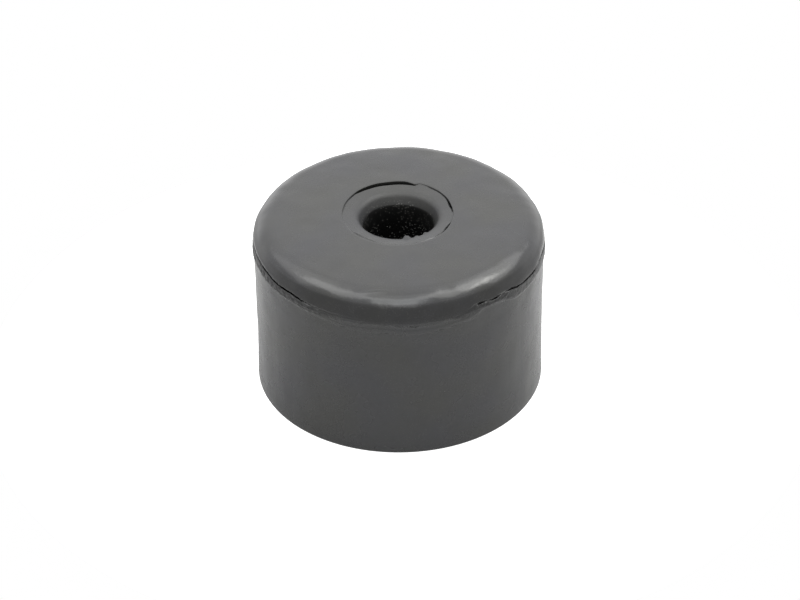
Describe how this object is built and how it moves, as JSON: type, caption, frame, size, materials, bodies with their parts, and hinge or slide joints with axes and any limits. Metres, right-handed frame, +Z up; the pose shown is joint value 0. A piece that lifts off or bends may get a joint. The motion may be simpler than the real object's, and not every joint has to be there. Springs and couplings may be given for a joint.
{
  "type": "rubber foot",
  "caption": "Round screw-on rubber foot with a rounded tread face, a thin moulded lip and a deep bore for the head of its screw.",
  "frame": {"origin": "centre of the flat mounting face, on the screw's axis", "axes": "+Z up the screw's axis from the mounting face to the tread face with the wide mouth; -Y is the front of the foot as pictured, +X its right"},
  "size_m": [0.0386, 0.0386, 0.025],
  "materials": {
    "rubber": "satin"
  },
  "bodies": {
    "root": {"rubber_foot": "rubber"}
  },
  "joints": []
}
